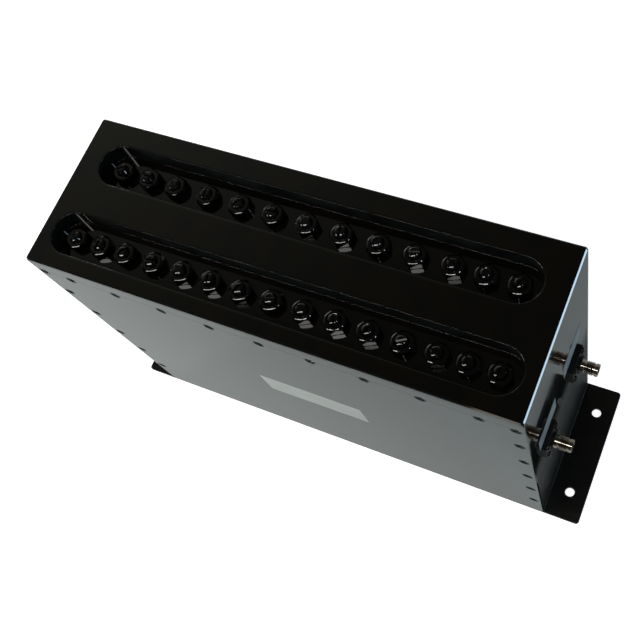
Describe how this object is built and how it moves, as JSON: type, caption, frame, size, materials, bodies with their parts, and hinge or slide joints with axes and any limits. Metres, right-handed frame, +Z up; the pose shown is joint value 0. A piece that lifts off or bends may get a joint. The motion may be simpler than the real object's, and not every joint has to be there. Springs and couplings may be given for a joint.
{
  "type": "cavity duplexer",
  "caption": "Tall glossy black metal box with two long pockets of tuning screws in its top, a coaxial connector pair on one end, a shared one on the other, and a foot plate with bolt holes.",
  "frame": {"origin": "under the middle of the foot plate, on the plane it stands on", "axes": "+X along the body to the end with two connectors, +Y across it to the side with seven resonators, +Z up"},
  "size_m": [0.4644, 0.1306, 0.294],
  "materials": {
    "black_paint": "glossy black enamel",
    "black_steel": "blackened steel",
    "nickel": "nickel plated",
    "brass": "plain",
    "white_plastic": "plain white",
    "bare_aluminium": "machined"
  },
  "bodies": {
    "cabinet": {"housing": "black_paint", "foot_plate": "black_paint", "near_cover": "black_paint", "far_cover": "black_paint", "cover_screws": "black_steel", "foot_screws": "black_steel", "flange_screws": "black_steel", "locknuts": "black_steel", "near_connector": "nickel", "far_connector": "nickel", "common_connector": "nickel", "near_contact": "brass", "far_contact": "brass", "common_contact": "brass", "connector_insulators": "white_plastic", "near_resonator_1": "bare_aluminium", "near_resonator_2": "bare_aluminium", "near_resonator_3": "bare_aluminium", "near_resonator_4": "bare_aluminium", "near_resonator_5": "bare_aluminium", "near_resonator_6": "bare_aluminium", "near_resonator_7": "bare_aluminium", "near_resonator_8": "bare_aluminium", "far_resonator_1": "bare_aluminium", "far_resonator_2": "bare_aluminium", "far_resonator_3": "bare_aluminium", "far_resonator_4": "bare_aluminium", "far_resonator_5": "bare_aluminium", "far_resonator_6": "bare_aluminium", "far_resonator_7": "bare_aluminium"},
    "near_tuning_screw_1": {"near_tuning_screw_1": "black_steel"},
    "near_tuning_screw_2": {"near_tuning_screw_2": "black_steel"},
    "near_tuning_screw_3": {"near_tuning_screw_3": "black_steel"},
    "near_tuning_screw_4": {"near_tuning_screw_4": "black_steel"},
    "near_tuning_screw_5": {"near_tuning_screw_5": "black_steel"},
    "near_tuning_screw_6": {"near_tuning_screw_6": "black_steel"},
    "near_tuning_screw_7": {"near_tuning_screw_7": "black_steel"},
    "near_tuning_screw_8": {"near_tuning_screw_8": "black_steel"},
    "near_coupling_screw_1": {"near_coupling_screw_1": "black_steel"},
    "near_coupling_screw_2": {"near_coupling_screw_2": "black_steel"},
    "near_coupling_screw_3": {"near_coupling_screw_3": "black_steel"},
    "near_coupling_screw_4": {"near_coupling_screw_4": "black_steel"},
    "near_coupling_screw_5": {"near_coupling_screw_5": "black_steel"},
    "near_coupling_screw_6": {"near_coupling_screw_6": "black_steel"},
    "near_coupling_screw_7": {"near_coupling_screw_7": "black_steel"},
    "far_tuning_screw_1": {"far_tuning_screw_1": "black_steel"},
    "far_tuning_screw_2": {"far_tuning_screw_2": "black_steel"},
    "far_tuning_screw_3": {"far_tuning_screw_3": "black_steel"},
    "far_tuning_screw_4": {"far_tuning_screw_4": "black_steel"},
    "far_tuning_screw_5": {"far_tuning_screw_5": "black_steel"},
    "far_tuning_screw_6": {"far_tuning_screw_6": "black_steel"},
    "far_tuning_screw_7": {"far_tuning_screw_7": "black_steel"},
    "far_coupling_screw_1": {"far_coupling_screw_1": "black_steel"},
    "far_coupling_screw_2": {"far_coupling_screw_2": "black_steel"},
    "far_coupling_screw_3": {"far_coupling_screw_3": "black_steel"},
    "far_coupling_screw_4": {"far_coupling_screw_4": "black_steel"},
    "far_coupling_screw_5": {"far_coupling_screw_5": "black_steel"},
    "far_coupling_screw_6": {"far_coupling_screw_6": "black_steel"}
  },
  "joints": [
    {"name": "near_tuning_screw_1_feed", "type": "slide", "parent": "cabinet", "child": "near_tuning_screw_1", "axis": [0, 0, 1], "range_m": [-0.003, 0.003]},
    {"name": "near_tuning_screw_2_feed", "type": "slide", "parent": "cabinet", "child": "near_tuning_screw_2", "axis": [0, 0, 1], "range_m": [-0.003, 0.003]},
    {"name": "near_tuning_screw_3_feed", "type": "slide", "parent": "cabinet", "child": "near_tuning_screw_3", "axis": [0, 0, 1], "range_m": [-0.003, 0.003]},
    {"name": "near_tuning_screw_4_feed", "type": "slide", "parent": "cabinet", "child": "near_tuning_screw_4", "axis": [0, 0, 1], "range_m": [-0.003, 0.003]},
    {"name": "near_tuning_screw_5_feed", "type": "slide", "parent": "cabinet", "child": "near_tuning_screw_5", "axis": [0, 0, 1], "range_m": [-0.003, 0.003]},
    {"name": "near_tuning_screw_6_feed", "type": "slide", "parent": "cabinet", "child": "near_tuning_screw_6", "axis": [0, 0, 1], "range_m": [-0.003, 0.003]},
    {"name": "near_tuning_screw_7_feed", "type": "slide", "parent": "cabinet", "child": "near_tuning_screw_7", "axis": [0, 0, 1], "range_m": [-0.003, 0.003]},
    {"name": "near_tuning_screw_8_feed", "type": "slide", "parent": "cabinet", "child": "near_tuning_screw_8", "axis": [0, 0, 1], "range_m": [-0.003, 0.003]},
    {"name": "near_coupling_screw_1_feed", "type": "slide", "parent": "cabinet", "child": "near_coupling_screw_1", "axis": [0, 0, 1], "range_m": [-0.003, 0.003]},
    {"name": "near_coupling_screw_2_feed", "type": "slide", "parent": "cabinet", "child": "near_coupling_screw_2", "axis": [0, 0, 1], "range_m": [-0.003, 0.003]},
    {"name": "near_coupling_screw_3_feed", "type": "slide", "parent": "cabinet", "child": "near_coupling_screw_3", "axis": [0, 0, 1], "range_m": [-0.003, 0.003]},
    {"name": "near_coupling_screw_4_feed", "type": "slide", "parent": "cabinet", "child": "near_coupling_screw_4", "axis": [0, 0, 1], "range_m": [-0.003, 0.003]},
    {"name": "near_coupling_screw_5_feed", "type": "slide", "parent": "cabinet", "child": "near_coupling_screw_5", "axis": [0, 0, 1], "range_m": [-0.003, 0.003]},
    {"name": "near_coupling_screw_6_feed", "type": "slide", "parent": "cabinet", "child": "near_coupling_screw_6", "axis": [0, 0, 1], "range_m": [-0.003, 0.003]},
    {"name": "near_coupling_screw_7_feed", "type": "slide", "parent": "cabinet", "child": "near_coupling_screw_7", "axis": [0, 0, 1], "range_m": [-0.003, 0.003]},
    {"name": "far_tuning_screw_1_feed", "type": "slide", "parent": "cabinet", "child": "far_tuning_screw_1", "axis": [0, 0, 1], "range_m": [-0.003, 0.003]},
    {"name": "far_tuning_screw_2_feed", "type": "slide", "parent": "cabinet", "child": "far_tuning_screw_2", "axis": [0, 0, 1], "range_m": [-0.003, 0.003]},
    {"name": "far_tuning_screw_3_feed", "type": "slide", "parent": "cabinet", "child": "far_tuning_screw_3", "axis": [0, 0, 1], "range_m": [-0.003, 0.003]},
    {"name": "far_tuning_screw_4_feed", "type": "slide", "parent": "cabinet", "child": "far_tuning_screw_4", "axis": [0, 0, 1], "range_m": [-0.003, 0.003]},
    {"name": "far_tuning_screw_5_feed", "type": "slide", "parent": "cabinet", "child": "far_tuning_screw_5", "axis": [0, 0, 1], "range_m": [-0.003, 0.003]},
    {"name": "far_tuning_screw_6_feed", "type": "slide", "parent": "cabinet", "child": "far_tuning_screw_6", "axis": [0, 0, 1], "range_m": [-0.003, 0.003]},
    {"name": "far_tuning_screw_7_feed", "type": "slide", "parent": "cabinet", "child": "far_tuning_screw_7", "axis": [0, 0, 1], "range_m": [-0.003, 0.003]},
    {"name": "far_coupling_screw_1_feed", "type": "slide", "parent": "cabinet", "child": "far_coupling_screw_1", "axis": [0, 0, 1], "range_m": [-0.003, 0.003]},
    {"name": "far_coupling_screw_2_feed", "type": "slide", "parent": "cabinet", "child": "far_coupling_screw_2", "axis": [0, 0, 1], "range_m": [-0.003, 0.003]},
    {"name": "far_coupling_screw_3_feed", "type": "slide", "parent": "cabinet", "child": "far_coupling_screw_3", "axis": [0, 0, 1], "range_m": [-0.003, 0.003]},
    {"name": "far_coupling_screw_4_feed", "type": "slide", "parent": "cabinet", "child": "far_coupling_screw_4", "axis": [0, 0, 1], "range_m": [-0.003, 0.003]},
    {"name": "far_coupling_screw_5_feed", "type": "slide", "parent": "cabinet", "child": "far_coupling_screw_5", "axis": [0, 0, 1], "range_m": [-0.003, 0.003]},
    {"name": "far_coupling_screw_6_feed", "type": "slide", "parent": "cabinet", "child": "far_coupling_screw_6", "axis": [0, 0, 1], "range_m": [-0.003, 0.003]}
  ]
}
